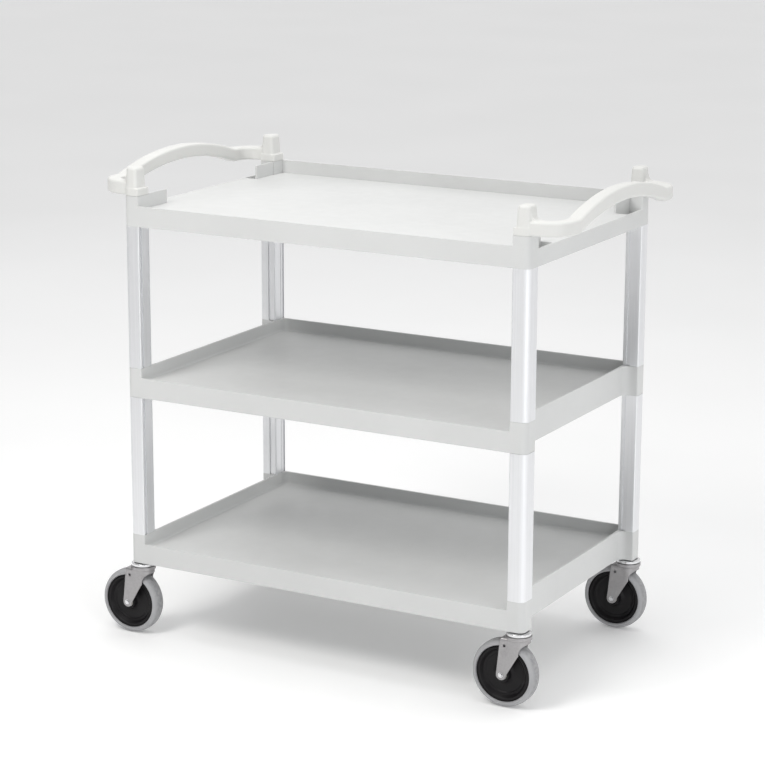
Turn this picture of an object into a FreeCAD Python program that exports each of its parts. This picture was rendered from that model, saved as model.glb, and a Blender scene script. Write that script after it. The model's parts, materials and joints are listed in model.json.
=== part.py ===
import FreeCAD, Part
import math
import os
import Sketcher

# Food service trolley: three moulded shelves on eight aluminium uprights, two bow handles
# and four swivel casters. Row frame: origin on the floor under the middle of the trolley,
# +X along the trolley, +Y across it, +Z up. Millimetres.

V = FreeCAD.Vector

DRIVING_SIZES = {
    # shelves
    "shelf_length": 845, "shelf_width": 523, "block_height": 57.5, "shelf_pitch": 330.5,
    "deck_drop": 26, "deck_thick": 4, "front_drop": 18.5, "wall_thick": 4.5,
    "notch_depth": 10, "rib_thick": 2.5, "rib_depth": 18, "cove_radius": 5,
    "inner_corner": 14, "neck_radius": 16,
    "gusset_reach": 100, "gusset_inset": 2, "gusset_thick": 4, "recess_depth": 11,
    # corner posts
    "post_x": 33, "post_y": 37, "post_corner": 13, "edge_radius": 2.5, "post_wall": 3.2,
    "groove_depth": 2, "groove_edge": 2, "groove_wide": 8.5, "lip_wide": 4, "panel_depth": 0.6,
    "side_groove_at": 17, "spigot_gap": 0.15, "spigot_rise": 20, "inner_chamfer": 8,
    # handles
    "handle_reach": 64, "handle_thick": 27, "handle_tall": 26, "arch_rise": 31,
    "arch_half": 190, "bend_radius": 53, "handle_edge": 4.5, "arm_root": 7, "root_blend": 12,
    "skirt_tall": 14, "dome_tall": 53, "dome_inset": 0.9, "dome_step": 3.4, "dome_draft": 2.5,
    "dome_round": 6.5, "dome_top_round": 5.5, "cap_peg_rise": 10, "cap_peg_inset": 7.5,
    "screw_radius": 3, "screw_head_radius": 6, "screw_head_tall": 3.5, "screw_rise": 34,
    # casters
    "caster_height": 147, "trail": 25, "wheel_radius": 63.5, "running_gap": 0.05, "body_gap": 0.3,
    # wheel core and tyre
    "core_radius": 53, "rim_width": 26, "rim_inner": 46, "web_thick": 7, "hub_width": 36,
    "hub_radius": 17, "hub_taper": 3, "hub_foot": 4, "web_start": 25, "step_start": 36,
    "step_rise_to": 39, "step_end": 44, "tyre_width": 32, "bead_in": 1.5, "bead_drop": 1,
    "side_in": 3.5, "shoulder_in": 4, "shoulder_drop": 2.5, "crown_in": 1.2, "crown_half": 9.33,
    "tread_half": 5.33, "bush_radius": 10, "sleeve_radius": 6,
    # axle bolt and nut
    "bolt_radius": 4, "head_tall": 1.6, "head_flat": 6, "flange_tall": 1,
    "flange_radius": 4.8, "nut_tall": 6.8, "nut_flat": 13,
    # stem, socket and swivel race
    "stem_radius": 5.5, "stem_rise": 38, "stem_bevel": 1, "collar_radius": 9, "pin_radius": 6,
    "rivet_radius": 9.5, "rivet_tall": 2.7, "rivet_cone": 3, "rivet_edge": 1,
    "socket_radius": 8, "socket_flange": 11, "socket_lip": 0.8, "socket_spare": 6,
    "race_radius": 23, "race_lip": 1, "cap_tall": 6.3, "cap_drop": 1.6, "cap_skin": 2,
    "ball_radius": 2.6, "ball_circle": 15,
    # fork
    "crown_under": 131, "crown_plate": 3, "crown_back": 27, "crown_front": 23, "crown_bend": 4,
    "leg_gap": 3, "leg_thick": 2.5, "leg_lean": 2, "leg_shoulder": 14, "leg_end_radius": 10,
    "flare_x": 8.5, "flare_z": 104, "flare_radius": 18, "apron_under": 124.5,
    "oil_hole_radius": 2.5, "oil_hole_in": 8,
}
BALL_COUNT = 14
CROSS_CELLS = 8
LONG_CELLS = 5
HEXAGON_CORNER = 2 / math.sqrt(3)
# how far a cutting outline runs past the solid that it cuts
PAST = 1


class Size:
    """A length that carries both its number and the sheet expression that it is bound to."""

    def __init__(self, number, text):
        self.number = float(number)
        self.text = text

    def joined(self, other, sign, number):
        other = as_size(other)
        return Size(number(self.number, other.number), f"({self.text} {sign} {other.text})")

    def __add__(self, other):
        return self.joined(other, "+", lambda a, b: a + b)

    def __sub__(self, other):
        return self.joined(other, "-", lambda a, b: a - b)

    def __mul__(self, other):
        return self.joined(other, "*", lambda a, b: a * b)

    def __truediv__(self, other):
        return self.joined(other, "/", lambda a, b: a / b)

    def __rsub__(self, other):
        return as_size(other) - self

    def __neg__(self):
        return self * -1

    __radd__ = __add__
    __rmul__ = __mul__


def as_size(item):
    return item if isinstance(item, Size) else Size(item, f"({item})")


class Sizes:
    """The sheet's driving sizes as attributes."""


doc = FreeCAD.newDocument("food_service_trolley")
sheet = doc.addObject("Spreadsheet::Sheet", "Sizes")
sizes = Sizes()
for row, (alias, driving) in enumerate(DRIVING_SIZES.items(), start=1):
    sheet.set(f"A{row}", alias)
    sheet.set(f"B{row}", str(driving))
    sheet.setAlias(f"B{row}", alias)
    setattr(sizes, alias, Size(driving, f"Sizes.{alias}"))
doc.recompute()

sub_parts = []

# ------------------------------------------------------------------ general helpers


def bind(item, prop, size):
    item.setExpression(prop, as_size(size).text)


def new_body(label, is_sub_part=True):
    body = doc.addObject("PartDesign::Body", label)
    body.Label = label
    if is_sub_part:
        sub_parts.append(body)
    return body


def place(body, x=0, y=0, z=0):
    """Bind the body's position in the row frame."""
    for axis, size in zip("xyz", (x, y, z)):
        bind(body, f"Placement.Base.{axis}", size)


def turn_wheelwise(body):
    """Turn the body so that its own Z runs along the row frame's -Y."""
    body.Placement.Rotation = FreeCAD.Rotation(V(1, 0, 0), 90)


def new_sketch(body, name, role="XY_Plane", height=0):
    sketch = body.newObject("Sketcher::SketchObject", f"{body.Name}_{name}")
    plane = [item for item in body.Origin.OriginFeatures if item.Role == role][0]
    sketch.AttachmentSupport = (plane, [""])
    sketch.MapMode = "FlatFace"
    bind(sketch, "AttachmentOffset.Base.z", height)
    return sketch


def pin_vertex(sketch, edge, point, vertex=1):
    """Hold one of an edge's points, its first vertex if no other is named, at two sizes."""
    for size, kind, axis in zip(point, ("DistanceX", "DistanceY"), (-2, -1)):
        size = as_size(size)
        if abs(size.number) < 1e-9:
            sketch.addConstraint(Sketcher.Constraint("PointOnObject", edge, vertex, axis))
        else:
            index = sketch.addConstraint(
                Sketcher.Constraint(kind, -1, 1, edge, vertex, size.number))
            sketch.setExpression(f"Constraints[{index}]", size.text)


def set_radius(sketch, edge, radius):
    index = sketch.addConstraint(Sketcher.Constraint("Radius", edge, radius.number))
    sketch.setExpression(f"Constraints[{index}]", radius.text)


def arc_between(start, end, radius, turn):
    """The short arc between two points; the turn is 1 to the left and -1 to the right."""
    chord = end - start
    to_centre = V(-chord.y, chord.x, 0) * (turn / chord.Length)
    rise = math.sqrt(radius ** 2 - (chord.Length / 2) ** 2)
    centre = start + chord * 0.5 + to_centre * rise
    first, last = (start, end) if turn > 0 else (end, start)
    angles = [math.atan2(point.y - centre.y, point.x - centre.x) for point in (first, last)]
    if angles[1] < angles[0]:
        angles[1] += 2 * math.pi
    return Part.ArcOfCircle(Part.Circle(centre, V(0, 0, 1), radius), *angles)


def draw_outline(sketch, corners, arcs=None):
    """Draw a closed outline. An arc is listed by the corner it leaves, with radius and turn."""
    arcs = arcs or {}
    corners = [(as_size(x), as_size(y)) for x, y in corners]
    points = [V(x.number, y.number, 0) for x, y in corners]
    first = sketch.GeometryCount
    count = len(points)
    # an arc's own first vertex is its end in the outline when the arc turns to the right
    leaving = [2 if i in arcs and arcs[i][1] < 0 else 1 for i in range(count)]
    for i, start in enumerate(points):
        end = points[(i + 1) % count]
        if i in arcs:
            radius, turn = arcs[i]
            sketch.addGeometry(arc_between(start, end, radius.number, turn), False)
        else:
            sketch.addGeometry(Part.LineSegment(start, end), False)
    for i in range(count):
        after = (i + 1) % count
        sketch.addConstraint(Sketcher.Constraint(
            "Coincident", first + i, 3 - leaving[i], first + after, leaving[after]))
    for i, corner in enumerate(corners):
        pin_vertex(sketch, first + i, corner, leaving[i])
    for i, (radius, _) in arcs.items():
        set_radius(sketch, first + i, radius)


def draw_rectangle(sketch, low_x, low_y, high_x, high_y):
    draw_outline(sketch, [(low_x, low_y), (high_x, low_y), (high_x, high_y), (low_x, high_y)])


def draw_circle(sketch, x, y, radius):
    x, y, radius = as_size(x), as_size(y), as_size(radius)
    circle = Part.Circle(V(x.number, y.number, 0), V(0, 0, 1), radius.number)
    edge = sketch.addGeometry(circle, False)
    pin_vertex(sketch, edge, (x, y), vertex=3)
    set_radius(sketch, edge, radius)


def extrude(body, kind, sketch, length, name, reverse=False, both_ways=False, draft=0):
    """Pad or pocket a sketch, and check that it changed the solid. Draft is in degrees."""
    doc.recompute()
    before = body.Shape.Volume if body.Shape and not body.Shape.isNull() else 0
    feature = body.newObject(f"PartDesign::{kind}", f"{body.Name}_{name}")
    feature.Profile = sketch
    bind(feature, "Length", length)
    feature.Reversed = reverse
    feature.Midplane = both_ways
    bind(feature, "TaperAngle", -as_size(draft))
    sketch.Visibility = False
    doc.recompute()
    grew = body.Shape.Volume - before
    if (kind == "Pad") != (grew > 0) or abs(grew) < 1e-6:
        raise ValueError(f"{feature.Name} changed the volume by {grew}")
    return feature


def pad(body, sketch, length, name, **options):
    return extrude(body, "Pad", sketch, length, name, **options)


def pocket(body, sketch, length, name, **options):
    return extrude(body, "Pocket", sketch, length, name, **options)


def round_edges(body, radius, name, chosen):
    """Fillet the edges of the body's tip that the chosen test picks."""
    tip = body.Tip
    names = [f"Edge{i}" for i, edge in enumerate(tip.Shape.Edges, start=1) if chosen(edge)]
    if not names:
        raise ValueError(f"{body.Label} has no edges for {name}")
    fillet = body.newObject("PartDesign::Fillet", f"{body.Name}_{name}")
    fillet.Base = (tip, names)
    bind(fillet, "Radius", radius)
    doc.recompute()
    if "Invalid" in fillet.State or abs(fillet.Shape.Volume - tip.Shape.Volume) < 1e-6:
        raise ValueError(f"{fillet.Name} rounded nothing on {len(names)} edges")
    return fillet


def is_upright(edge):
    """True for a straight edge along Z."""
    ends = [vertex.Point for vertex in edge.Vertexes]
    if len(ends) != 2:
        return False
    span = ends[1] - ends[0]
    return abs(span.x) < 1e-4 and abs(span.y) < 1e-4 and abs(span.z) > 1e-4


def upright_at(x, y, low=-1e6, high=1e6):
    """A test for a straight edge along Z at a place, or at its mirror images."""
    x, y = as_size(x).number, as_size(y).number

    def test(edge):
        if not is_upright(edge):
            return False
        middle = edge.CenterOfMass
        near = abs(abs(middle.x) - x) < 0.01 and abs(abs(middle.y) - y) < 0.01
        return near and low < middle.z < high

    return test


def level_at(z, reach_x, reach_y):
    """A test for an edge that lies flat at a height, inside a centred rectangle."""
    z, reach_x, reach_y = (as_size(size).number for size in (z, reach_x, reach_y))

    def test(edge):
        box = edge.BoundBox
        flat = abs(box.ZMin - z) < 0.01 and abs(box.ZMax - z) < 0.01
        inside = max(abs(box.XMin), abs(box.XMax)) < reach_x
        return flat and inside and max(abs(box.YMin), abs(box.YMax)) < reach_y

    return test


def revolve(body, name, points):
    """Turn a profile, given as radius and height, round the body's own Z."""
    sketch = new_sketch(body, f"{name}_profile", "XZ_Plane")
    draw_outline(sketch, points)
    feature = body.newObject("PartDesign::Revolution", f"{body.Name}_{name}")
    feature.Profile = sketch
    feature.ReferenceAxis = (sketch, ["V_Axis"])
    feature.Angle = 360
    sketch.Visibility = False
    doc.recompute()
    return feature


# ------------------------------------------------------------------ shared places

HALF_LENGTH = sizes.shelf_length / 2
HALF_WIDTH = sizes.shelf_width / 2
INNER_X = HALF_LENGTH - sizes.post_x
INNER_Y = HALF_WIDTH - sizes.post_y
NECK_X = INNER_X + sizes.wall_thick
POST_AT_X = HALF_LENGTH - sizes.post_x / 2
POST_AT_Y = HALF_WIDTH - sizes.post_y / 2
DECK_LEVEL = sizes.block_height - sizes.deck_drop
UNDER_DEPTH = DECK_LEVEL - sizes.deck_thick
CORNERS = {
    "front_left": (-1, -1), "front_right": (1, -1),
    "rear_left": (-1, 1), "rear_right": (1, 1),
}


def draw_post_core(sketch, at_x, at_y, side_x, side_y, inset):
    """The post's inside outline: a rectangle with its outer corner cut off."""
    reach_x = sizes.post_x / 2 - inset
    reach_y = sizes.post_y / 2 - inset
    cut = sizes.inner_chamfer
    corners = [
        (-reach_x, -reach_y), (reach_x, -reach_y), (reach_x, reach_y - cut),
        (reach_x - cut, reach_y), (-reach_x, reach_y),
    ]
    draw_outline(sketch, [(at_x + x * side_x, at_y + y * side_y) for x, y in corners])


# ------------------------------------------------------------------ shelves


def shelf_outline(sketch, has_necks):
    """The shelf from above: a rectangle, or one whose ends step in between its corner blocks."""
    if not has_necks:
        draw_rectangle(sketch, -HALF_LENGTH, -HALF_WIDTH, HALF_LENGTH, HALF_WIDTH)
        return
    draw_outline(sketch, [
        (HALF_LENGTH, -HALF_WIDTH), (HALF_LENGTH, -INNER_Y), (NECK_X, -INNER_Y),
        (NECK_X, INNER_Y), (HALF_LENGTH, INNER_Y), (HALF_LENGTH, HALF_WIDTH),
        (-HALF_LENGTH, HALF_WIDTH), (-HALF_LENGTH, INNER_Y), (-NECK_X, INNER_Y),
        (-NECK_X, -INNER_Y), (-HALF_LENGTH, -INNER_Y), (-HALF_LENGTH, -HALF_WIDTH),
    ])


def hollow_underside(body):
    """Open the shelf from below and leave a grid of ribs under its deck."""
    reach_x = INNER_X
    reach_y = HALF_WIDTH - sizes.wall_thick
    hollow = new_sketch(body, "hollow_outline")
    draw_rectangle(hollow, -reach_x, -reach_y, reach_x, reach_y)
    pocket(body, hollow, UNDER_DEPTH, "hollow", reverse=True)
    for name, along, across, role, cells in (
            ("cross_ribs", reach_x, reach_y, "X_Axis", CROSS_CELLS),
            ("long_ribs", reach_y, reach_x, "Y_Axis", LONG_CELLS)):
        pitch = along * 2 / cells
        low = -along + pitch - sizes.rib_thick / 2
        high = -along + pitch + sizes.rib_thick / 2
        sketch = new_sketch(body, f"{name}_outline", height=UNDER_DEPTH)
        if role == "X_Axis":
            draw_rectangle(sketch, low, -across, high, across)
        else:
            draw_rectangle(sketch, -across, low, across, high)
        first = pad(body, sketch, sizes.rib_depth, f"{name}_first", reverse=True)
        pattern = body.newObject("PartDesign::LinearPattern", f"{body.Name}_{name}")
        pattern.Originals = [first]
        axis = [item for item in body.Origin.OriginFeatures if item.Role == role][0]
        pattern.Direction = (axis, [""])
        bind(pattern, "Length", pitch * (cells - 2))
        pattern.Occurrences = cells - 1
        body.Tip = pattern
        doc.recompute()


def add_spigots(body, name, height, rise, inset, downwards):
    """Raise or drop one spigot on each corner block."""
    sketch = new_sketch(body, f"{name}_outline", height=height)
    for side_x, side_y in CORNERS.values():
        draw_post_core(sketch, POST_AT_X * side_x, POST_AT_Y * side_y, side_x, side_y, inset)
    pad(body, sketch, rise, name, reverse=downwards)


def bore_corners(body, name, height, radius, depth, downwards):
    """Bore one round hole into each corner block."""
    sketch = new_sketch(body, f"{name}_outline", height=height)
    for side_x, side_y in CORNERS.values():
        draw_circle(sketch, POST_AT_X * side_x, POST_AT_Y * side_y, radius)
    pocket(body, sketch, depth, name, reverse=not downwards)


def tray_shelf(label):
    """A shelf with raised end and rear walls and a low front lip."""
    body = new_body(label)
    outline = new_sketch(body, "outline")
    shelf_outline(outline, has_necks=True)
    pad(body, outline, sizes.block_height, "block")
    round_edges(body, sizes.post_corner, "outer_corners", upright_at(HALF_LENGTH, HALF_WIDTH))
    round_edges(body, sizes.edge_radius, "block_edges", upright_at(HALF_LENGTH, INNER_Y))
    round_edges(body, sizes.neck_radius, "necks", upright_at(NECK_X, INNER_Y))
    tray = new_sketch(body, "tray_outline", height=sizes.block_height)
    reach_y = HALF_WIDTH - sizes.wall_thick
    draw_rectangle(tray, -INNER_X, -reach_y, INNER_X, reach_y)
    pocket(body, tray, sizes.deck_drop, "tray")
    corner = upright_at(INNER_X, reach_y)
    round_edges(body, sizes.inner_corner, "tray_corners",
                lambda edge: corner(edge) and edge.CenterOfMass.y > 0)
    round_edges(body, sizes.cove_radius, "tray_cove", level_at(DECK_LEVEL, NECK_X, HALF_WIDTH))
    front = new_sketch(body, "front_outline", height=sizes.block_height)
    front_edge = -HALF_WIDTH + sizes.notch_depth
    draw_rectangle(front, -INNER_X, -HALF_WIDTH - PAST, INNER_X, front_edge)
    pocket(body, front, sizes.front_drop, "front_lip")
    hollow_underside(body)
    return body


def spigot_inset():
    return sizes.post_wall + sizes.spigot_gap


def middle_shelf():
    body = tray_shelf("shelf_middle")
    add_spigots(body, "upper_spigots", sizes.block_height, sizes.spigot_rise, spigot_inset(), False)
    add_spigots(body, "lower_spigots", 0, sizes.spigot_rise, spigot_inset(), True)
    place(body, z=sizes.caster_height + sizes.shelf_pitch)


def bottom_shelf():
    body = tray_shelf("shelf_bottom")
    add_spigots(body, "upper_spigots", sizes.block_height, sizes.spigot_rise, spigot_inset(), False)
    bore_corners(body, "socket_bores", 0, sizes.socket_radius,
                 sizes.stem_rise + sizes.socket_spare, False)
    place(body, z=sizes.caster_height)


def cut_above(body, name, low_x, low_y, high_x, high_y, level):
    """Take away everything above a level inside a rectangle."""
    sketch = new_sketch(body, f"{name}_outline", height=sizes.block_height)
    draw_rectangle(sketch, low_x, low_y, high_x, high_y)
    pocket(body, sketch, sizes.block_height - level, name)


def top_shelf():
    """The top shelf: open ends, a rear wall, a low front lip and a gusset behind each block."""
    body = new_body("shelf_top")
    outline = new_sketch(body, "outline")
    shelf_outline(outline, has_necks=False)
    pad(body, outline, sizes.block_height, "block")
    round_edges(body, sizes.post_corner, "outer_corners", upright_at(HALF_LENGTH, HALF_WIDTH))
    rear_face = HALF_WIDTH - sizes.wall_thick
    lip_back = -HALF_WIDTH + sizes.wall_thick
    gusset_end = HALF_WIDTH - sizes.gusset_reach
    cut_above(body, "deck", -INNER_X, lip_back, INNER_X, rear_face, DECK_LEVEL)
    lip_level = sizes.block_height - sizes.front_drop
    cut_above(body, "front_lip", -INNER_X, -HALF_WIDTH - PAST, INNER_X, lip_back, lip_level)
    past_end = HALF_LENGTH + PAST
    plate_in = INNER_X + sizes.gusset_inset
    plate_out = plate_in + sizes.gusset_thick
    rim = HALF_LENGTH - sizes.gusset_thick
    floor = DECK_LEVEL - sizes.recess_depth
    for end, side_x in (("left", -1), ("right", 1)):
        cut_above(body, f"{end}_end", (INNER_X - PAST) * side_x, -gusset_end,
                  past_end * side_x, gusset_end, DECK_LEVEL)
        for face, side_y in (("front", -1), ("rear", 1)):
            corner = f"{face}_{end}"
            near_y = gusset_end * side_y
            far_y = INNER_Y * side_y
            cut_above(body, f"{corner}_face", (INNER_X - PAST) * side_x, near_y,
                      plate_in * side_x, far_y, DECK_LEVEL)
            cut_above(body, f"{corner}_ledge", plate_out * side_x, near_y,
                      past_end * side_x, far_y, DECK_LEVEL)
            cut_above(body, f"{corner}_recess", plate_out * side_x, near_y,
                      rim * side_x, far_y, floor)
    round_edges(body, sizes.edge_radius, "block_edges",
                upright_at(HALF_LENGTH, INNER_Y, low=DECK_LEVEL.number))
    hollow_underside(body)
    add_spigots(body, "cap_pegs", sizes.block_height, sizes.cap_peg_rise, sizes.cap_peg_inset, False)
    add_spigots(body, "lower_spigots", 0, sizes.spigot_rise, spigot_inset(), True)
    bore_corners(body, "screw_bores", -sizes.spigot_rise, sizes.screw_radius,
                 sizes.block_height + sizes.spigot_rise + sizes.cap_peg_rise, False)
    place(body, z=sizes.caster_height + sizes.shelf_pitch * 2)


# ------------------------------------------------------------------ uprights


def upright(label, side_x, side_y, level):
    """One hollow aluminium upright, plugged onto the shelves' spigots."""
    body = new_body(label)
    half_x = sizes.post_x / 2
    half_y = sizes.post_y / 2
    length = sizes.shelf_pitch - sizes.block_height
    outline = new_sketch(body, "outline")
    draw_rectangle(outline, -half_x, -half_y, half_x, half_y)
    pad(body, outline, length, "extrusion")

    def outer_corner(edge):
        middle = edge.CenterOfMass
        return is_upright(edge) and middle.x * side_x > 0 and middle.y * side_y > 0


    round_edges(body, sizes.post_corner, "outer_corner", outer_corner)
    round_edges(body, sizes.edge_radius, "other_corners", upright_at(half_x, half_y))
    core = new_sketch(body, "core_outline")
    draw_post_core(core, as_size(0), as_size(0), side_x, side_y, sizes.post_wall)
    pocket(body, core, length, "core", reverse=True)
    grooves = new_sketch(body, "groove_outline")
    face = -half_x * side_x
    start = (half_y - sizes.groove_edge) * side_y
    end = (half_y - sizes.groove_edge - sizes.groove_wide) * side_y
    draw_rectangle(grooves, face - side_x, start, face + sizes.groove_depth * side_x, end)
    side_face = -half_y * side_y
    near = (half_x - sizes.side_groove_at) * side_x
    far = (half_x - sizes.side_groove_at - sizes.groove_wide) * side_x
    draw_rectangle(grooves, near, side_face - side_y, far, side_face + sizes.groove_depth * side_y)
    pocket(body, grooves, length, "grooves", reverse=True)
    panel = new_sketch(body, "panel_outline")
    panel_start = (half_y - sizes.groove_edge - sizes.groove_wide - sizes.lip_wide) * side_y
    panel_end = -(half_y - sizes.groove_edge * 2) * side_y
    draw_rectangle(panel, face - side_x, panel_start, face + sizes.panel_depth * side_x, panel_end)
    pocket(body, panel, length, "panel", reverse=True)
    place(body, POST_AT_X * side_x, POST_AT_Y * side_y,
          sizes.caster_height + sizes.block_height + sizes.shelf_pitch * level)


# ------------------------------------------------------------------ handles


def bow(label, side):
    """A handle's two arms and arched bar, as one band that is bent round both ends."""
    body = new_body(f"{label}_bow", is_sub_part=False)
    outer = HALF_LENGTH + sizes.handle_reach
    inside = outer - sizes.handle_thick
    half_span = POST_AT_Y + sizes.handle_thick / 2
    half_opening = POST_AT_Y - sizes.handle_thick / 2
    root_x = HALF_LENGTH - sizes.arm_root
    high = sizes.handle_tall
    arch = sizes.arch_half
    rise = sizes.arch_rise
    radius = (arch * arch + rise * rise) / (rise * 2)
    outline = new_sketch(body, "outline", "YZ_Plane")
    draw_outline(outline, [
        (-half_span, 0), (-arch, 0), (arch, 0), (half_span, 0),
        (half_span, high), (arch, high), (-arch, high), (-half_span, high),
    ], {1: (radius, -1), 5: (radius, 1)})
    pad(body, outline, outer, "band", reverse=side < 0)
    over = high + rise + PAST
    opening = new_sketch(body, "opening_outline")
    draw_rectangle(opening, -PAST * side, -half_opening, inside * side, half_opening)
    pocket(body, opening, over, "hand_gap", reverse=True)
    trim = new_sketch(body, "trim_outline")
    draw_rectangle(trim, -PAST * side, -half_span - PAST, root_x * side, half_span + PAST)
    pocket(body, trim, over, "trim", reverse=True)
    round_edges(body, sizes.bend_radius, "outer_bends", upright_at(outer, half_span))
    round_edges(body, sizes.bend_radius - sizes.handle_thick, "inner_bends",
                upright_at(inside, half_opening))

    def along_band(edge):
        """A long edge of the band, neither at its cut ends nor across it at the arch's ends."""
        box = edge.BoundBox
        at_cut = abs(abs(edge.CenterOfMass.x) - root_x.number) < 0.01
        across = box.YLength < 0.01 and abs(abs(edge.CenterOfMass.y) - arch.number) < 0.01
        return not is_upright(edge) and not at_cut and not across

    round_edges(body, sizes.handle_edge, "band_edges", along_band)
    blend = sizes.root_blend
    foot = HALF_LENGTH - sizes.dome_inset
    for end, side_y in (("front", -1), ("rear", 1)):
        web = new_sketch(body, f"{end}_root_outline", "XZ_Plane", height=POST_AT_Y * -side_y)
        draw_outline(web, [
            (root_x * side, high - PAST), ((foot + blend) * side, high - PAST),
            ((foot + blend) * side, high), (foot * side, high + blend),
            (root_x * side, high + blend),
        ], {2: (blend, -side)})
        pad(body, web, sizes.handle_thick - sizes.handle_edge * 2, f"{end}_root", both_ways=True)
    return body


def caps(label, side):
    """A handle's two caps: a skirt that matches the corner block, and a smaller dome on it."""
    body = new_body(f"{label}_caps", is_sub_part=False)

    def draw_caps(sketch, inset, step):
        """Both outlines, set in all round, and by a step more towards the shelf's middle."""
        corner = sizes.post_corner - inset
        near_x = INNER_X + inset + step
        far_x = HALF_LENGTH - inset
        near_y = INNER_Y + inset
        far_y = HALF_WIDTH - inset
        for side_y in (-1, 1):
            outline = [(near_x, near_y), (far_x, near_y), (far_x, far_y - corner),
                       (far_x - corner, far_y), (near_x, far_y)]
            draw_outline(sketch, [(x * side, y * side_y) for x, y in outline],
                         {2: (corner, side * side_y)})

    def is_outer(edge):
        middle = edge.CenterOfMass
        return abs(middle.x) > POST_AT_X.number and abs(middle.y) > POST_AT_Y.number

    def on_dome(edge):
        return edge.BoundBox.ZLength > PAST and edge.CenterOfMass.z > sizes.skirt_tall.number

    skirts = new_sketch(body, "skirt_outline")
    draw_caps(skirts, 0, 0)
    pad(body, skirts, sizes.skirt_tall, "skirts")
    round_edges(body, sizes.edge_radius, "skirt_edges",
                lambda edge: is_upright(edge) and not is_outer(edge))
    domes = new_sketch(body, "dome_outline", height=sizes.skirt_tall)
    draw_caps(domes, sizes.dome_inset, sizes.dome_step)
    pad(body, domes, sizes.dome_tall - sizes.skirt_tall, "domes", draft=sizes.dome_draft)
    round_edges(body, sizes.dome_round, "dome_corners",
                lambda edge: on_dome(edge) and not is_outer(edge))
    round_edges(body, sizes.dome_top_round, "dome_tops",
                lambda edge: edge.BoundBox.ZMin > sizes.dome_tall.number - 0.01)
    sockets = new_sketch(body, "socket_outline")
    pilots = new_sketch(body, "pilot_outline")
    for side_y in (-1, 1):
        draw_post_core(sockets, POST_AT_X * side, POST_AT_Y * side_y, side, side_y,
                       sizes.cap_peg_inset - sizes.spigot_gap)
        draw_circle(pilots, POST_AT_X * side, POST_AT_Y * side_y, sizes.screw_radius)
    pocket(body, sockets, sizes.cap_peg_rise + sizes.spigot_gap, "sockets", reverse=True)
    pocket(body, pilots, sizes.screw_rise, "pilots", reverse=True)
    return body


def handle(label, side):
    """A moulded bow handle: two arms and an arched bar, with a domed cap over each corner block."""
    moulding = doc.addObject("Part::Fuse", label)
    moulding.Label = label
    moulding.Base = bow(label, side)
    moulding.Tool = caps(label, side)
    doc.recompute()
    place(moulding, z=sizes.caster_height + sizes.shelf_pitch * 2 + sizes.block_height)
    sub_parts.append(moulding)


def handle_screws():
    """Four screws, driven up from inside the uprights, that hold the handles' caps."""
    body = new_body("handle_screws")
    under = -sizes.block_height - sizes.spigot_rise
    shanks = new_sketch(body, "shank_outline", height=under)
    heads = new_sketch(body, "head_outline", height=under)
    for side_x, side_y in CORNERS.values():
        draw_circle(shanks, POST_AT_X * side_x, POST_AT_Y * side_y, sizes.screw_radius)
        draw_circle(heads, POST_AT_X * side_x, POST_AT_Y * side_y, sizes.screw_head_radius)
    pad(body, shanks, sizes.screw_rise - under, "shanks")
    pad(body, heads, sizes.screw_head_tall, "heads", reverse=True)
    place(body, z=sizes.caster_height + sizes.shelf_pitch * 2 + sizes.block_height)


# ------------------------------------------------------------------ casters

CAP_TOP = sizes.caster_height - sizes.socket_lip - sizes.socket_lip
CAP_UNDER = CAP_TOP - sizes.cap_skin
BALL_HEIGHT = CAP_UNDER - sizes.ball_radius
RACE_TOP = BALL_HEIGHT - sizes.ball_radius - sizes.body_gap
LEG_INNER = sizes.tyre_width / 2 + sizes.leg_gap
LEG_OUTER = LEG_INNER + sizes.leg_thick


def caster_body(name, corner, label):
    body = new_body(f"{name}_{label}")
    return body, POST_AT_X * corner[0], POST_AT_Y * corner[1]


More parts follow.
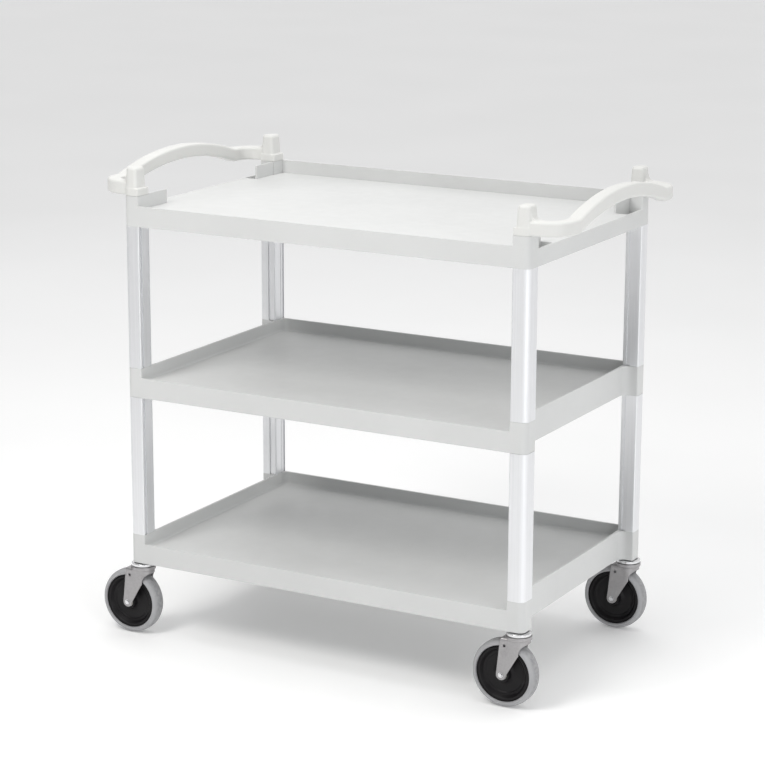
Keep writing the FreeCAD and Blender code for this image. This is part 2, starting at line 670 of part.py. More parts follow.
def stem_parts(label, corner):
    """What stays still: the socket, the stem with its rivet, the upper race and the balls."""
    body, x, y = caster_body("caster_socket", corner, label)
    low = sizes.caster_height - sizes.socket_lip
    bore = sizes.stem_radius + sizes.running_gap
    top = sizes.caster_height + sizes.stem_rise
    revolve(body, "tube", [
        (bore, low), (sizes.socket_flange, low), (sizes.socket_flange, sizes.caster_height),
        (sizes.socket_radius, sizes.caster_height), (sizes.socket_radius, top), (bore, top)])
    place(body, x, y)

    body, x, y = caster_body("caster_stem", corner, label)
    plate = sizes.crown_under - sizes.body_gap
    bevel = sizes.stem_bevel
    stem_top = top - bevel
    rivet_under = plate - sizes.rivet_tall
    revolve(body, "pin", [
        (0, rivet_under), (sizes.rivet_radius - sizes.rivet_cone, rivet_under),
        (sizes.rivet_radius, plate - sizes.rivet_edge), (sizes.rivet_radius, plate),
        (sizes.pin_radius, plate), (sizes.pin_radius, CAP_TOP), (sizes.collar_radius, CAP_TOP),
        (sizes.collar_radius, low), (sizes.stem_radius, low),
        (sizes.stem_radius, stem_top - bevel), (sizes.stem_radius - bevel, stem_top),
        (0, stem_top)])
    place(body, x, y)

    body, x, y = caster_body("swivel_cap", corner, label)
    rim = sizes.race_radius
    skin = sizes.cap_skin
    skirt = CAP_TOP - sizes.cap_tall
    shoulder = sizes.ball_circle + sizes.ball_radius + sizes.cap_skin / 2
    revolve(body, "dish", [
        (sizes.pin_radius, CAP_UNDER), (sizes.pin_radius, CAP_TOP), (shoulder, CAP_TOP),
        (rim, CAP_TOP - sizes.cap_drop), (rim, skirt), (rim - skin, skirt),
        (rim - skin, CAP_UNDER - sizes.cap_drop), (shoulder, CAP_UNDER)])
    place(body, x, y)

    body, x, y = caster_body("swivel_balls", corner, label)
    ball = body.newObject("PartDesign::AdditiveSphere", f"{body.Name}_ball")
    floor_plane = [item for item in body.Origin.OriginFeatures if item.Role == "XY_Plane"][0]
    ball.AttachmentSupport = (floor_plane, [""])
    ball.MapMode = "FlatFace"
    bind(ball, "Radius", sizes.ball_radius)
    bind(ball, "AttachmentOffset.Base.x", sizes.ball_circle)
    bind(ball, "AttachmentOffset.Base.z", BALL_HEIGHT)
    doc.recompute()
    ring = body.newObject("PartDesign::PolarPattern", f"{body.Name}_ring")
    ring.Originals = [ball]
    axis = [item for item in body.Origin.OriginFeatures if item.Role == "Z_Axis"][0]
    ring.Axis = (axis, [""])
    ring.Angle = 360
    ring.Occurrences = BALL_COUNT
    body.Tip = ring
    place(body, x, y)


def fork(label, corner):
    """The pressed fork: two legs joined by a bend round the front, under the lower race."""
    body, x, y = caster_body("fork", corner, label)
    axle = sizes.wheel_radius
    plate_top = sizes.crown_under + sizes.crown_plate
    end = sizes.leg_end_radius
    shoulder = plate_top - sizes.leg_shoulder
    legs = new_sketch(body, "leg_outline", "XZ_Plane")
    draw_outline(legs, [
        (-sizes.crown_back, plate_top), (-sizes.crown_back - sizes.leg_lean, shoulder),
        (-sizes.trail - end, axle), (-sizes.trail + end, axle),
        (sizes.flare_x, sizes.flare_z), (sizes.crown_front, sizes.apron_under),
        (sizes.crown_front, plate_top)], {4: (sizes.flare_radius, -1)})
    pad(body, legs, LEG_OUTER * 2, "legs", both_ways=True)
    ends = new_sketch(body, "end_outline", "XZ_Plane")
    draw_circle(ends, -sizes.trail, axle, end)
    pad(body, ends, LEG_OUTER * 2, "leg_ends", both_ways=True)

    def crown_side(edge):
        box = edge.BoundBox
        at_top = abs(box.ZMin - plate_top.number) < 0.01 and box.ZLength < 0.01
        return at_top and box.YLength < 0.01

    round_edges(body, sizes.crown_bend, "crown_bends", crown_side)
    trim = new_sketch(body, "trim_outline")
    clear = LEG_OUTER + PAST
    ahead = sizes.crown_front + PAST
    draw_outline(trim, [
        (0, -clear), (ahead, -clear), (ahead, clear), (0, clear), (0, LEG_OUTER),
        (LEG_OUTER, 0), (0, -LEG_OUTER)], {4: (LEG_OUTER, -1), 5: (LEG_OUTER, -1)})
    pocket(body, trim, plate_top + PAST, "front_bend", reverse=True)
    under = axle - end - PAST
    slot = new_sketch(body, "slot_outline", height=under)
    behind = -sizes.trail - end - PAST
    draw_outline(slot, [
        (behind, -LEG_INNER), (0, -LEG_INNER), (LEG_INNER, 0), (0, LEG_INNER),
        (behind, LEG_INNER)], {1: (LEG_INNER, 1), 2: (LEG_INNER, 1)})
    pocket(body, slot, sizes.crown_under - under, "wheel_slot", reverse=True)
    race = new_sketch(body, "race_outline", height=sizes.crown_under)
    draw_circle(race, 0, 0, sizes.race_radius + sizes.race_lip)
    pad(body, race, RACE_TOP - sizes.crown_under, "race")
    hole = new_sketch(body, "hole_outline", "XZ_Plane")
    draw_circle(hole, -sizes.trail, axle, sizes.bolt_radius + sizes.running_gap)
    draw_circle(hole, -sizes.crown_back + sizes.oil_hole_in, shoulder, sizes.oil_hole_radius)
    pocket(body, hole, (LEG_OUTER + PAST) * 2, "axle_holes", both_ways=True)
    bore = new_sketch(body, "bore_outline", height=sizes.crown_under - PAST)
    draw_circle(bore, 0, 0, sizes.pin_radius + sizes.running_gap)
    pocket(body, bore, RACE_TOP - sizes.crown_under + PAST * 2, "pin_bore", reverse=True)
    place(body, x, y)


def axle_parts(label, corner):
    """The bolt, nut and sleeve that the wheel turns on, clamped in the fork."""
    axle_x = POST_AT_X * corner[0] - sizes.trail
    post_y = POST_AT_Y * corner[1]

    def at_axle(body):
        turn_wheelwise(body)
        place(body, axle_x, post_y, sizes.wheel_radius)

    def draw_hexagon(sketch, flat):
        across = flat / 2
        corner_radius = across * HEXAGON_CORNER
        half = corner_radius / 2
        draw_outline(sketch, [
            (corner_radius, 0), (half, across), (-half, across),
            (-corner_radius, 0), (-half, -across), (half, -across)])

    body, _, _ = caster_body("axle_bolt", corner, label)
    end = LEG_OUTER + sizes.nut_tall
    shaft = new_sketch(body, "shaft_outline", height=-end)
    draw_circle(shaft, 0, 0, sizes.bolt_radius)
    pad(body, shaft, end + LEG_OUTER + sizes.flange_tall, "shaft")
    flange = new_sketch(body, "flange_outline", height=LEG_OUTER)
    draw_circle(flange, 0, 0, sizes.flange_radius)
    pad(body, flange, sizes.flange_tall, "flange")
    head = new_sketch(body, "head_outline", height=LEG_OUTER + sizes.flange_tall)
    draw_hexagon(head, sizes.head_flat)
    pad(body, head, sizes.head_tall, "head")
    at_axle(body)

    body, _, _ = caster_body("axle_nut", corner, label)
    nut = new_sketch(body, "nut_outline", height=-end)
    draw_hexagon(nut, sizes.nut_flat)
    pad(body, nut, sizes.nut_tall, "nut")
    thread = new_sketch(body, "thread_outline", height=-end)
    draw_circle(thread, 0, 0, sizes.bolt_radius)
    pocket(body, thread, sizes.nut_tall, "thread", reverse=True)
    at_axle(body)

    body, _, _ = caster_body("axle_sleeve", corner, label)
    bore = sizes.bolt_radius + sizes.running_gap
    revolve(body, "tube", [
        (bore, -LEG_INNER), (sizes.sleeve_radius, -LEG_INNER),
        (sizes.sleeve_radius, LEG_INNER), (bore, LEG_INNER)])
    at_axle(body)


def wheel_parts(label, corner):
    """What rolls: the bush, the moulded core and the tyre."""
    axle_x = POST_AT_X * corner[0] - sizes.trail
    post_y = POST_AT_Y * corner[1]

    def at_axle(body):
        turn_wheelwise(body)
        place(body, axle_x, post_y, sizes.wheel_radius)

    body, _, _ = caster_body("wheel_bush", corner, label)
    bore = sizes.sleeve_radius + sizes.running_gap
    reach = LEG_INNER - sizes.body_gap
    revolve(body, "tube", [
        (bore, -reach), (sizes.bush_radius, -reach), (sizes.bush_radius, reach), (bore, reach)])
    at_axle(body)

    body, _, _ = caster_body("wheel_core", corner, label)
    web = sizes.web_thick / 2
    hub = sizes.hub_width / 2
    rim = sizes.rim_width / 2
    step = (rim + web) / 2
    half_profile = [
        (sizes.bush_radius, hub), (sizes.hub_radius - sizes.hub_taper, hub),
        (sizes.hub_radius, web + sizes.hub_foot), (sizes.web_start, web),
        (sizes.step_start, web), (sizes.step_rise_to, step), (sizes.step_end, step),
        (sizes.rim_inner, rim), (sizes.core_radius, rim)]
    mirrored = [(radius, -depth) for radius, depth in reversed(half_profile)]
    revolve(body, "disc", half_profile + mirrored)
    at_axle(body)

    body, _, _ = caster_body("tyre", corner, label)
    half = sizes.tyre_width / 2
    band = sizes.core_radius
    outer = sizes.wheel_radius
    half_profile = [
        (band, rim), (band + sizes.bead_in, half - sizes.bead_drop), (band + sizes.side_in, half),
        (outer - sizes.shoulder_in, half - sizes.shoulder_drop),
        (outer - sizes.crown_in, sizes.crown_half), (outer, sizes.tread_half)]
    mirrored = [(radius, -depth) for radius, depth in reversed(half_profile)]
    revolve(body, "ring", half_profile + mirrored)
    at_axle(body)


# ------------------------------------------------------------------ the whole trolley

bottom_shelf()
middle_shelf()
top_shelf()
for corner_name, (corner_x, corner_y) in CORNERS.items():
    upright(f"upright_lower_{corner_name}", corner_x, corner_y, 0)
    upright(f"upright_upper_{corner_name}", corner_x, corner_y, 1)
handle("handle_left", -1)
handle("handle_right", 1)
handle_screws()
for corner_name, corner_sides in CORNERS.items():
    stem_parts(corner_name, corner_sides)
    fork(corner_name, corner_sides)
    axle_parts(corner_name, corner_sides)
    wheel_parts(corner_name, corner_sides)

doc.recompute()
for item in doc.Objects:
    if "Invalid" in item.State or "Error" in item.State:
        raise ValueError(f"{item.Name} is {item.State}")
for sub_part in sub_parts:
    if sub_part.Shape.isNull() or not sub_part.Shape.isValid():
        raise ValueError(f"{sub_part.Label} has no valid shape")

os.makedirs("parts", exist_ok=True)
for sub_part in sub_parts:
    sub_part.Shape.exportStep(f"parts/{sub_part.Label}.step")
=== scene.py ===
import json
import math

import bmesh
import bpy
from mathutils import Matrix, Vector


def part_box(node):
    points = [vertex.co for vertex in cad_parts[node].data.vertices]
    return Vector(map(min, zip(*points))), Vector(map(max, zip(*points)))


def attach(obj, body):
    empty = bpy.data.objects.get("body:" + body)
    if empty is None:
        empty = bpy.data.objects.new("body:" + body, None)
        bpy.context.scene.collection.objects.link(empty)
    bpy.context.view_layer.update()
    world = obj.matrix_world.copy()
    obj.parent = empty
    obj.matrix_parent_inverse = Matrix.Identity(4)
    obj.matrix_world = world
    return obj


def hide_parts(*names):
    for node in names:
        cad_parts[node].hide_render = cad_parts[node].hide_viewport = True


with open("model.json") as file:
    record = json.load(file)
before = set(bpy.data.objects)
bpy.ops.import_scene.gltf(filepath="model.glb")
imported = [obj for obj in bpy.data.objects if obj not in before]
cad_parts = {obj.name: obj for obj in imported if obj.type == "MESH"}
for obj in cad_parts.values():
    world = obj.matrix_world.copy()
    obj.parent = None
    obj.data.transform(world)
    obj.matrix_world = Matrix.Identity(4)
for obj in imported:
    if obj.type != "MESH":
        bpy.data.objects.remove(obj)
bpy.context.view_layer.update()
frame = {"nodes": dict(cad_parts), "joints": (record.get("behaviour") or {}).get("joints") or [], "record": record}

MM = 0.001
SLOT_OF = {part["node"]: part["material_slot"] for part in frame["record"]["subparts"]}
JOINTS = {joint["name"]: joint for joint in frame["joints"]}
CORNERS = ("front_left", "front_right", "rear_left", "rear_right")

# ------------------------------------------------------------------ camera, light and floor

CAMERA_PLACE = (2.240, -4.044, 1.649)
CAMERA_YAW = 29.1
CAMERA_PITCH = 13.95
CAMERA_ROLL = 0.2
CAMERA_LENS = 117.0
SENSOR_WIDTH = 36.0
VIEW_REACH = 120


def add_camera():
    data = bpy.data.cameras.new("camera")
    data.lens = CAMERA_LENS
    data.sensor_width = SENSOR_WIDTH
    data.clip_end = VIEW_REACH
    camera = bpy.data.objects.new("camera", data)
    bpy.context.scene.collection.objects.link(camera)
    heading = Matrix.Rotation(math.radians(CAMERA_YAW), 4, "Z")
    tilt = Matrix.Rotation(math.radians(90 - CAMERA_PITCH), 4, "X")
    roll = Matrix.Rotation(math.radians(CAMERA_ROLL), 4, "Z")
    camera.matrix_world = Matrix.Translation(CAMERA_PLACE) @ heading @ tilt @ roll
    bpy.context.scene.camera = camera


def add_area_light(name, place, target, size, watts, tint):
    data = bpy.data.lights.new(name, "AREA")
    data.shape = "DISK"
    data.size = size
    data.energy = watts
    data.color = tint
    light = bpy.data.objects.new(name, data)
    bpy.context.scene.collection.objects.link(light)
    light.location = place
    aim = Vector(target) - Vector(place)
    light.rotation_euler = aim.to_track_quat("-Z", "Y").to_euler()


# each light's name, place, size, watts and tint; all of them aim at the middle of the trolley
LIGHTS = (
    ("front", (-0.6, -2.1, 2.7), 1.3, 42, (1.0, 0.99, 0.97)),
    ("overhead", (0.2, -0.2, 3.6), 2.6, 26, (1.0, 1.0, 1.0)),
    ("right", (2.6, -1.9, 1.0), 1.6, 16, (0.96, 0.98, 1.0)),
    ("rear", (-2.2, 3.0, 2.4), 2.4, 5, (0.97, 0.98, 1.0)),
)
LIGHT_TARGET = (0, 0, 0.5)
WORLD_STRENGTH = 0.85
WORLD_BRIGHT = (1.0, 1.0, 1.0, 1)
WORLD_DIM = (0.12, 0.125, 0.13, 1)
# the studio's walls are brightest towards the rear right and above
WORLD_AIM = (0.35, 0.75, 0.56)
WORLD_DIM_BELOW = -0.30
WORLD_BRIGHT_ABOVE = 0.45


def add_lights():
    for name, place, size, watts, tint in LIGHTS:
        add_area_light(name, place, LIGHT_TARGET, size, watts, tint)
    world = bpy.data.worlds.new("studio")
    world.use_nodes = True
    tree = world.node_tree
    background = tree.nodes["Background"]
    background.inputs["Strength"].default_value = WORLD_STRENGTH
    facing = tree.nodes.new("ShaderNodeVectorMath")
    facing.operation = "DOT_PRODUCT"
    facing.inputs[1].default_value = WORLD_AIM
    tree.links.new(tree.nodes.new("ShaderNodeTexCoord").outputs["Generated"], facing.inputs[0])
    ramp = tree.nodes.new("ShaderNodeMapRange")
    ramp.interpolation_type = "SMOOTHSTEP"
    ramp.inputs["From Min"].default_value = WORLD_DIM_BELOW
    ramp.inputs["From Max"].default_value = WORLD_BRIGHT_ABOVE
    tree.links.new(facing.outputs["Value"], ramp.inputs["Value"])
    tone = tree.nodes.new("ShaderNodeMix")
    tone.data_type = "RGBA"
    tone.inputs["A"].default_value = WORLD_DIM
    tone.inputs["B"].default_value = WORLD_BRIGHT
    tree.links.new(ramp.outputs["Result"], tone.inputs["Factor"])
    tree.links.new(tone.outputs["Result"], background.inputs["Color"])
    bpy.context.scene.world = world
    bpy.context.scene.view_settings.view_transform = "Standard"


FLOOR_RADIUS = 40
FLOOR_STEPS = 96
FLOOR_GAP = 0.5 * MM
FLOOR_GLOW = 0.12

# ------------------------------------------------------------------ node helpers


class Nodes:
    """A short way to write a material's node tree."""

    def __init__(self, name):
        self.material = bpy.data.materials.new(name)
        self.material.use_nodes = True
        self.tree = self.material.node_tree
        self.shader = self.tree.nodes["Principled BSDF"]

    def add(self, kind, settings=None, **inputs):
        node = self.tree.nodes.new(kind)
        for key, value in (settings or {}).items():
            setattr(node, key, value)
        for key, value in inputs.items():
            self.feed(node.inputs[key.replace("_", " ")], value)
        return node

    def feed(self, socket, value):
        if isinstance(value, bpy.types.NodeSocket):
            self.tree.links.new(value, socket)
        else:
            socket.default_value = value

    def coordinates(self, stretch=(1, 1, 1)):
        place = self.add("ShaderNodeTexCoord").outputs["Object"]
        mapping = self.add("ShaderNodeMapping", Vector=place, Scale=stretch)
        return mapping.outputs["Vector"]

    def noise(self, scale, detail=3.0, stretch=(1, 1, 1), roughness=0.5):
        node = self.add("ShaderNodeTexNoise", Vector=self.coordinates(stretch), Scale=scale,
                        Detail=detail, Roughness=roughness)
        return node.outputs["Fac"]

    def cells(self, scale):
        node = self.add("ShaderNodeTexVoronoi", Vector=self.coordinates(), Scale=scale)
        return node.outputs["Distance"]

    def painted_crevice_shade(self, reach, deep, shallow, amount):
        """Painted shade: how much to darken the colour here, most where other surfaces close the point in, as
        ambient occlusion finds them.
        """
        node = self.add("ShaderNodeAmbientOcclusion", {"samples": 6}, Distance=reach)
        return self.remap(node.outputs["AO"], deep, shallow, amount, 0)

    def math(self, operation, first, second=0.0, clamp=False):
        node = self.add("ShaderNodeMath", {"operation": operation, "use_clamp": clamp})
        self.feed(node.inputs[0], first)
        self.feed(node.inputs[1], second)
        return node.outputs[0]

    def remap(self, value, low, high, to_low, to_high):
        node = self.add("ShaderNodeMapRange", Value=value)
        self.feed(node.inputs["From Min"], low)
        self.feed(node.inputs["From Max"], high)
        self.feed(node.inputs["To Min"], to_low)
        self.feed(node.inputs["To Max"], to_high)
        return node.outputs["Result"]

    def mix(self, factor, first, second):
        node = self.add("ShaderNodeMix", {"data_type": "RGBA"})
        self.feed(node.inputs["Factor"], factor)
        self.feed(node.inputs["A"], first)
        self.feed(node.inputs["B"], second)
        return node.outputs["Result"]

    def bump(self, height, distance, strength=1.0, onto=None):
        node = self.add("ShaderNodeBump", Height=height, Distance=distance, Strength=strength)
        if onto is not None:
            self.feed(node.inputs["Normal"], onto)
        return node.outputs["Normal"]

    def finish(self, color, roughness, normal, metallic=0.0, **constants):
        self.feed(self.shader.inputs["Base Color"], color)
        self.feed(self.shader.inputs["Roughness"], roughness)
        self.feed(self.shader.inputs["Normal"], normal)
        self.shader.inputs["Metallic"].default_value = metallic
        for key, value in constants.items():
            self.shader.inputs[key.replace("_", " ")].default_value = value
        return self.material


def shade(color, factor):
    return (*(min(1.0, channel * factor) for channel in color[:3]), 1.0)


# ------------------------------------------------------------------ materials


def moulded_plastic(name, color, roughness, grain=0.00011, scuffs=0.5, gloss=0.45):
    """A moulded surface: fine leather grain, slow tone changes, faint scuffs and specks."""
    nodes = Nodes(name)
    grain_height = nodes.math("ADD", nodes.math("MULTIPLY", nodes.cells(620), 0.7),
                              nodes.math("MULTIPLY", nodes.noise(1500, 2), 0.5))
    tone = nodes.remap(nodes.noise(5, 4), 0.3, 0.7, 0, 1)
    base = nodes.mix(tone, shade(color, 0.965), shade(color, 1.02))
    streaks = nodes.remap(nodes.noise(26, 6, (1, 5, 3), 0.7), 0.6, 0.72, 0, scuffs * 0.35)
    base = nodes.mix(streaks, base, shade(color, 0.86))
    specks = nodes.remap(nodes.noise(210, 2), 0.70, 0.78, 0, 0.35)
    base = nodes.mix(specks, base, shade(color, 0.8))
    # painted shade: the base colour darkens to 0.42 of itself in grooves, corners and seams where ambient
    # occlusion finds nearby surfaces
    base = nodes.mix(nodes.painted_crevice_shade(0.003, 0.15, 0.5, 0.7), base, shade(color, 0.42))
    rough = nodes.remap(nodes.noise(38, 5), 0.3, 0.7, roughness - 0.06, roughness + 0.08)
    rough = nodes.math("ADD", rough, nodes.math("MULTIPLY", streaks, 0.25), clamp=True)
    waves = nodes.bump(nodes.noise(9, 2), 0.0012, 0.35)
    normal = nodes.bump(grain_height, grain, 0.55, waves)
    return nodes.finish(base, rough, normal, Specular_IOR_Level=gloss)


def drawn_aluminium(name, color):
    """Satin anodised extrusion: die lines along its length, slow tone changes."""
    nodes = Nodes(name)
    lines = nodes.noise(1800, 3, (1, 1, 0.004))
    bands = nodes.noise(420, 2, (1, 1, 0.01))
    tone = nodes.remap(bands, 0.35, 0.65, 0, 1)
    base = nodes.mix(tone, shade(color, 0.975), shade(color, 1.015))
    # painted shade: the base colour darkens to 0.3 of itself in grooves, corners and seams where ambient occlusion
    # finds nearby surfaces
    base = nodes.mix(nodes.painted_crevice_shade(0.004, 0.2, 0.65, 0.8), base, shade(color, 0.3))
    rough = nodes.remap(lines, 0.3, 0.7, 0.46, 0.58)
    cloud = nodes.remap(nodes.noise(14, 4), 0.3, 0.7, -0.03, 0.05)
    rough = nodes.math("ADD", rough, cloud, clamp=True)
    normal = nodes.bump(lines, 0.00002, 0.5, nodes.bump(nodes.noise(900, 2), 0.000015, 0.4))
    return nodes.finish(base, rough, normal, metallic=1.0)


def plated_steel(name, color, low_rough, high_rough, mottle=260):
    """Plated pressed steel: mottled plate, fine rub marks, darker stains."""
    nodes = Nodes(name)
    patches = nodes.remap(nodes.cells(mottle), 0.1, 0.8, 0, 1)
    base = nodes.mix(patches, shade(color, 0.95), shade(color, 1.03))
    stains = nodes.remap(nodes.noise(45, 5), 0.58, 0.72, 0, 0.25)
    base = nodes.mix(stains, base, shade(color, 0.62))
    rub = nodes.noise(700, 3, (1, 1, 0.15))
    rough = nodes.remap(rub, 0.3, 0.7, low_rough, high_rough)
    rough = nodes.math("ADD", rough, nodes.math("MULTIPLY", stains, 0.3), clamp=True)
    normal = nodes.bump(rub, 0.00002, 0.5, nodes.bump(nodes.noise(130, 3), 0.00012, 0.3))
    return nodes.finish(base, rough, normal, metallic=1.0)


def rubber(name, color):
    """Grey wheel rubber: matte, dusty, with a dirtier tread band marked on the mesh."""
    nodes = Nodes(name)
    tread = nodes.add("ShaderNodeAttribute", {"attribute_name": "tread"}).outputs["Fac"]
    tone = nodes.remap(nodes.noise(40, 4), 0.3, 0.7, 0, 1)
    base = nodes.mix(tone, shade(color, 0.93), shade(color, 1.05))
    dirt = nodes.math("MULTIPLY", tread, nodes.remap(nodes.noise(160, 5), 0.35, 0.65, 0.15, 0.75))
    base = nodes.mix(dirt, base, shade(color, 0.62))
    rough = nodes.remap(nodes.noise(240, 4), 0.3, 0.7, 0.42, 0.58)
    rough = nodes.math("ADD", rough, nodes.math("MULTIPLY", dirt, 0.3), clamp=True)
    dents = nodes.bump(nodes.noise(60, 3), 0.0002, 0.25)
    normal = nodes.bump(nodes.noise(1100, 3), 0.00006, 0.5, dents)
    return nodes.finish(base, rough, normal, Specular_IOR_Level=0.4)


def floor_paint(name):
    """The pale studio floor, which glows a little so that its far side stays light."""
    nodes = Nodes(name)
    tone = nodes.remap(nodes.noise(1.5, 3), 0.3, 0.7, 0, 1)
    base = nodes.mix(tone, (0.90, 0.90, 0.90, 1), (0.93, 0.93, 0.93, 1))
    nodes.shader.inputs["Emission Color"].default_value = (1, 1, 1, 1)
    nodes.shader.inputs["Emission Strength"].default_value = FLOOR_GLOW
    return nodes.finish(base, 0.75, nodes.bump(nodes.noise(300, 2), 0.0001, 0.2))


def make_materials():
    """One material for each material slot of the record."""
    return {
        "shelf_plastic": moulded_plastic("shelf_plastic", (0.66, 0.665, 0.66), 0.48),
        "handle_plastic": moulded_plastic("handle_plastic", (0.72, 0.72, 0.70), 0.42, 0.00007, 0.3),
        "anodised_aluminium": drawn_aluminium("anodised_aluminium", (0.86, 0.865, 0.88)),
        "zinc_steel": plated_steel("zinc_steel", (0.41, 0.40, 0.405), 0.38, 0.50),
        "bright_steel": plated_steel("bright_steel", (0.74, 0.74, 0.75), 0.10, 0.20, 420),
        "black_core": moulded_plastic("black_core", (0.010, 0.009, 0.010), 0.42, 0.00005, 0.35,
                                      gloss=0.22),
        "grey_tyre": rubber("grey_tyre", (0.40, 0.40, 0.41)),
        "nylon": moulded_plastic("nylon", (0.72, 0.70, 0.64), 0.4, 0.00004, 0.2),
    }


# ------------------------------------------------------------------ meshes

WELD_REACH = 0.00001
SMOOTH_FACTOR = 0.5
SMOOTH_ROUNDS = 3
HANDLE_CELL = 1.0 * MM
FORK_CELL = 0.7 * MM
LATHE_STEPS = 160
TYRE_BEND_STEPS = 5
CORE_BEND_STEPS = 4
TYRE_DEPTH = 10.5 * MM
SEAT_IN = 3 * MM
TREAD_STARTS = 3 * MM
TREAD_FADE = 2.5 * MM
CORE_BORE = 10 * MM
RIM_HALF = 13 * MM
SHELF_BEVEL = 1.2 * MM
SMALL_BEVEL = 0.5 * MM
BEVEL_STEPS = 3
SHARP_ANGLE = 38


def link_mesh(name, mesh, material, body, replaced):
    piece = bpy.data.objects.new(name, mesh)
    bpy.context.scene.collection.objects.link(piece)
    mesh.materials.clear()
    mesh.materials.append(material)
    for polygon in mesh.polygons:
        polygon.use_smooth = True
    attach(piece, body)
    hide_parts(replaced)
    return piece


def softened(node, voxel):
    """A CAD node's surface rebuilt as even quads and smoothed, so that its corners blend."""
    source = frame["nodes"][node].data.copy()
    form = bmesh.new()
    form.from_mesh(source)
    bmesh.ops.remove_doubles(form, verts=form.verts, dist=WELD_REACH)
    form.to_mesh(source)
    form.free()
    carrier = bpy.data.objects.new(f"{node}_carrier", source)
    bpy.context.scene.collection.objects.link(carrier)
    remesh = carrier.modifiers.new("even", "REMESH")
    remesh.mode = "VOXEL"
    remesh.voxel_size = voxel
    smooth = carrier.modifiers.new("blend", "SMOOTH")
    smooth.factor = SMOOTH_FACTOR
    smooth.iterations = SMOOTH_ROUNDS
    scene_graph = bpy.context.evaluated_depsgraph_get()
    mesh = bpy.data.meshes.new_from_object(carrier.evaluated_get(scene_graph))
    bpy.data.objects.remove(carrier)
    return mesh


def lathe(profile, centre):
    """A mesh turned about an axle along Y. The profile lists radius and depth along the axle."""
    form = bmesh.new()
    rings = []
    for i in range(LATHE_STEPS):
        turn = 2 * math.pi * i / LATHE_STEPS
        spoke = Vector((math.cos(turn), 0, math.sin(turn)))
        rings.append([form.verts.new(Vector(centre) + spoke * radius + Vector((0, depth, 0)))
                      for radius, depth in profile])
    count = len(profile)
    for i, ring in enumerate(rings):
        other = rings[(i + 1) % LATHE_STEPS]
        for j in range(count):
            k = (j + 1) % count
            form.faces.new((ring[j], ring[k], other[k], other[j]))
    bmesh.ops.recalc_face_normals(form, faces=form.faces)
    mesh = bpy.data.meshes.new("turned")
    form.to_mesh(mesh)
    form.free()
    return mesh


def rounded_profile(points, radii, steps):
    """A closed outline with its corners rounded, each by its own radius."""
    outline = []
    count = len(points)
    for i, point in enumerate(points):
        here = Vector(point)
        radius = radii[i]
        back = Vector(points[i - 1]) - here
        ahead = Vector(points[(i + 1) % count]) - here
        if radius <= 0:
            outline.append(tuple(here))
            continue
        angle = back.angle(ahead)
        reach = min(radius / math.tan(angle / 2), back.length * 0.49, ahead.length * 0.49)
        start = here + back.normalized() * reach
        end = here + ahead.normalized() * reach
        for step in range(steps + 1):
            t = step / steps
            outline.append(tuple(start * (1 - t) ** 2 + here * 2 * t * (1 - t) + end * t ** 2))
    return outline


def axle_of(corner):
    return Vector(JOINTS[f"wheel_{corner}_roll"]["pos_m"])


def make_tyre(corner, material):
    """The tyre, crowned, with rounded shoulders and a flat band on each side."""
    low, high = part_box(f"tyre_{corner}")
    outer = (high.z - low.z) / 2
    half = (high.y - low.y) / 2
    inner = outer - TYRE_DEPTH
    seat = half - SEAT_IN
    corners = [
        (inner, -seat), (inner, seat), (inner + 1.2 * MM, half), (inner + 3.6 * MM, half),
        (outer - 3.2 * MM, half - 2.6 * MM), (outer, half - 9.5 * MM),
        (outer, -half + 9.5 * MM), (outer - 3.2 * MM, -half + 2.6 * MM),
        (inner + 3.6 * MM, -half), (inner + 1.2 * MM, -half),
    ]
    radii = [0, 0, 0.8 * MM, 1.6 * MM, 5 * MM, 12 * MM, 12 * MM, 5 * MM, 1.6 * MM, 0.8 * MM]
    mesh = lathe(rounded_profile(corners, radii, TYRE_BEND_STEPS), axle_of(corner))
    tread = mesh.attributes.new("tread", "FLOAT", "POINT")
    axle = axle_of(corner)
    for i, vertex in enumerate(mesh.vertices):
        radius = math.hypot(vertex.co.x - axle.x, vertex.co.z - axle.z)
        into_tread = (radius - outer + TREAD_STARTS) / TREAD_FADE
        tread.data[i].value = max(0.0, min(1.0, into_tread))
    link_mesh(f"tyre_surface_{corner}", mesh, material, f"wheel_{corner}",
              f"tyre_{corner}")


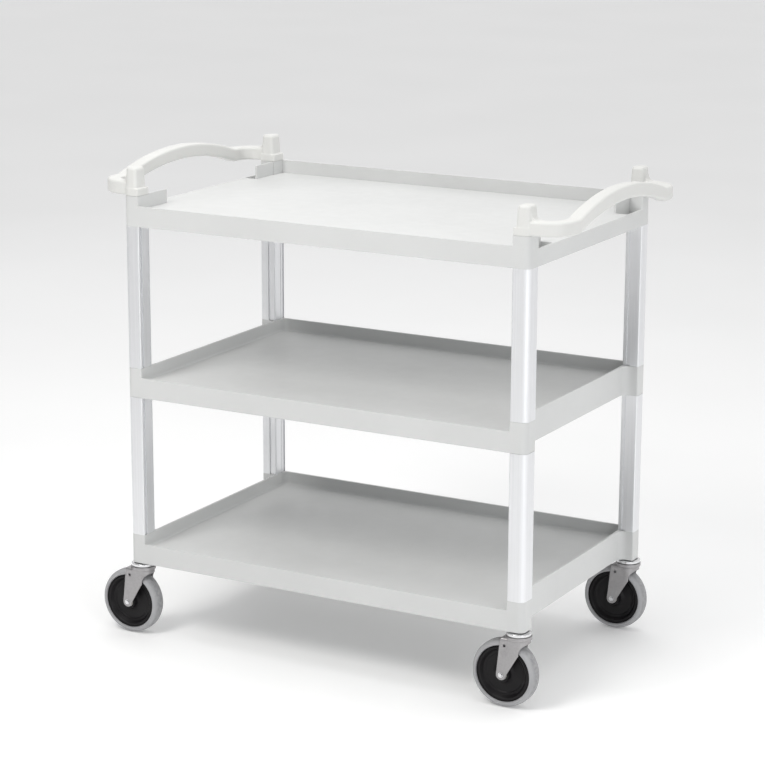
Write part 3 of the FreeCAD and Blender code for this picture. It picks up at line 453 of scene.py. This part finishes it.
def make_core(corner, material):
    """The moulded core: a hub, a flat web, a low step and a deep rim, the same on both sides."""
    low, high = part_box(f"wheel_core_{corner}")
    outer = (high.z - low.z) / 2
    hub = (high.y - low.y) / 2
    bore = CORE_BORE
    rim = RIM_HALF
    side = [
        (bore, hub), (13.5 * MM, hub), (15.5 * MM, hub - 9 * MM), (21 * MM, 4.8 * MM),
        (37 * MM, 4.2 * MM), (38.6 * MM, 5.6 * MM), (42.4 * MM, 6.2 * MM),
        (46 * MM, rim - 1.2 * MM), (47 * MM, rim), (outer, rim),
    ]
    bends = [0.6 * MM, 1.4 * MM, 3 * MM, 4 * MM, 2 * MM, 1.2 * MM, 0.8 * MM, 0.8 * MM, 0.5 * MM, 0]
    corners = side + [(radius, -depth) for radius, depth in reversed(side)]
    mesh = lathe(rounded_profile(corners, bends + bends[::-1], CORE_BEND_STEPS), axle_of(corner))
    link_mesh(f"wheel_core_surface_{corner}", mesh, material, f"wheel_{corner}",
              f"wheel_core_{corner}")


def soften_edges(node, width):
    """Round a CAD node's sharp edges with modifiers, which leave its mesh as it is."""
    piece = frame["nodes"][node]
    weld = piece.modifiers.new("weld", "WELD")
    weld.merge_threshold = WELD_REACH
    bevel = piece.modifiers.new("bevel", "BEVEL")
    bevel.width = width
    bevel.segments = BEVEL_STEPS
    bevel.limit_method = "ANGLE"
    bevel.angle_limit = math.radians(SHARP_ANGLE)
    bevel.harden_normals = True
    bevel.use_clamp_overlap = True
    normals = piece.modifiers.new("normals", "WEIGHTED_NORMAL")
    normals.keep_sharp = True
    for polygon in piece.data.polygons:
        polygon.use_smooth = True


# ------------------------------------------------------------------ build

add_camera()
add_lights()
materials = make_materials()

for node, piece in frame["nodes"].items():
    piece.data.materials.clear()
    piece.data.materials.append(materials[SLOT_OF[node]])
    if node.startswith("shelf"):
        soften_edges(node, SHELF_BEVEL)
    elif node.startswith(("swivel_cap", "axle_bolt", "axle_nut")):
        soften_edges(node, SMALL_BEVEL)

for side in ("left", "right"):
    node = f"handle_{side}"
    link_mesh(f"{node}_moulding", softened(node, HANDLE_CELL), materials["handle_plastic"],
              "frame", node)

for corner in CORNERS:
    make_tyre(corner, materials["grey_tyre"])
    make_core(corner, materials["black_core"])
    link_mesh(f"fork_pressing_{corner}", softened(f"fork_{corner}", FORK_CELL),
              materials["zinc_steel"], f"swivel_{corner}", f"fork_{corner}")

floor_mesh = bpy.data.meshes.new("floor")
floor_form = bmesh.new()
bmesh.ops.create_circle(floor_form, cap_ends=True, radius=FLOOR_RADIUS, segments=FLOOR_STEPS)
floor_form.to_mesh(floor_mesh)
floor_form.free()
floor = bpy.data.objects.new("floor", floor_mesh)
bpy.context.scene.collection.objects.link(floor)
floor.location.z = -FLOOR_GAP
floor_mesh.materials.append(floor_paint("floor_paint"))
